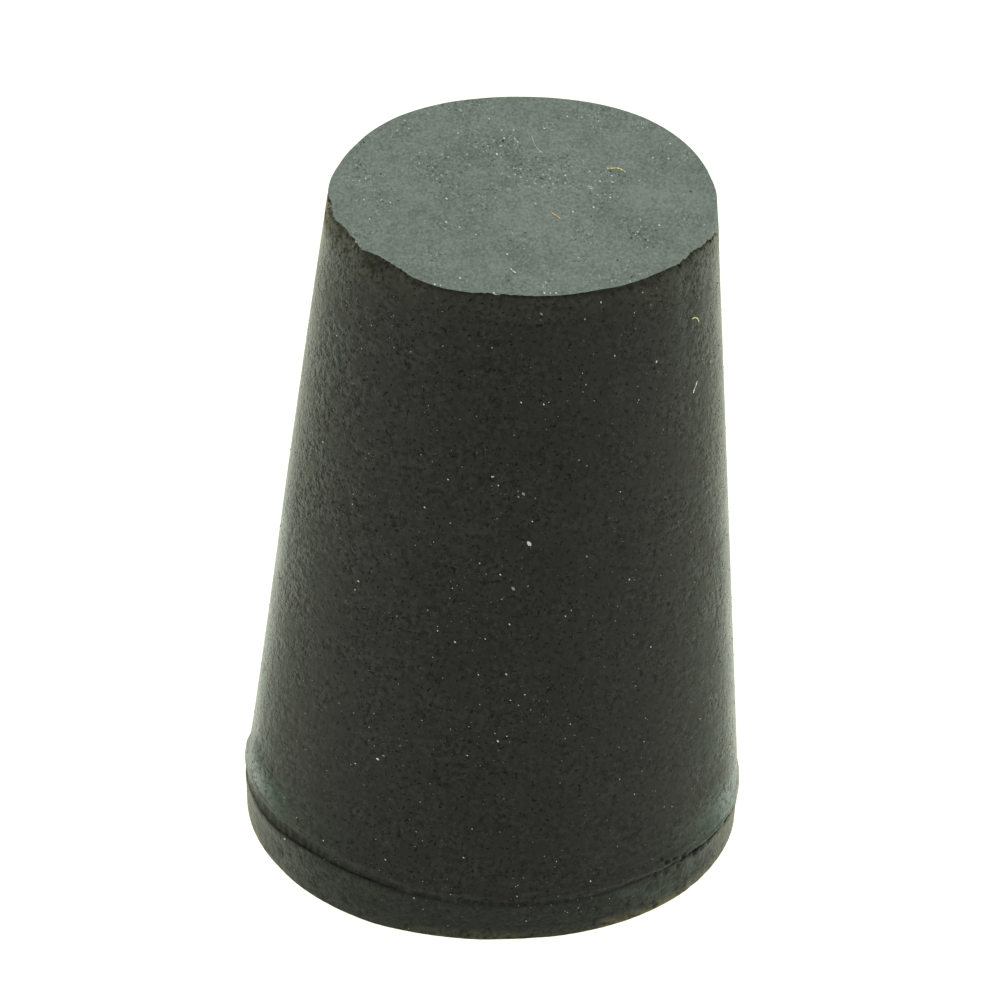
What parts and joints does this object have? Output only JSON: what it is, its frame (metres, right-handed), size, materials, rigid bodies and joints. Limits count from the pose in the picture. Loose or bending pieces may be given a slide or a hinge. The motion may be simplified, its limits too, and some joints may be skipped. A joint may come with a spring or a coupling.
{
  "type": "rubber stopper",
  "caption": "Solid tapered rubber stopper with a low foot band and a parting crease at its large end, for closing a round neck.",
  "frame": {"origin": "centre of the flat large end that the stopper stands on", "axes": "+Z from the large end to the small end, square to both trimmed ends; the moulded axis leans 1.26 degrees towards +X"},
  "size_m": [0.0175, 0.0174, 0.025],
  "materials": {
    "moulded_rubber": "matt moulded black rubber with fine grain, dusty, lighter grey bloom on the trimmed small end"
  },
  "bodies": {
    "root": {"stopper": "moulded_rubber"}
  },
  "joints": []
}
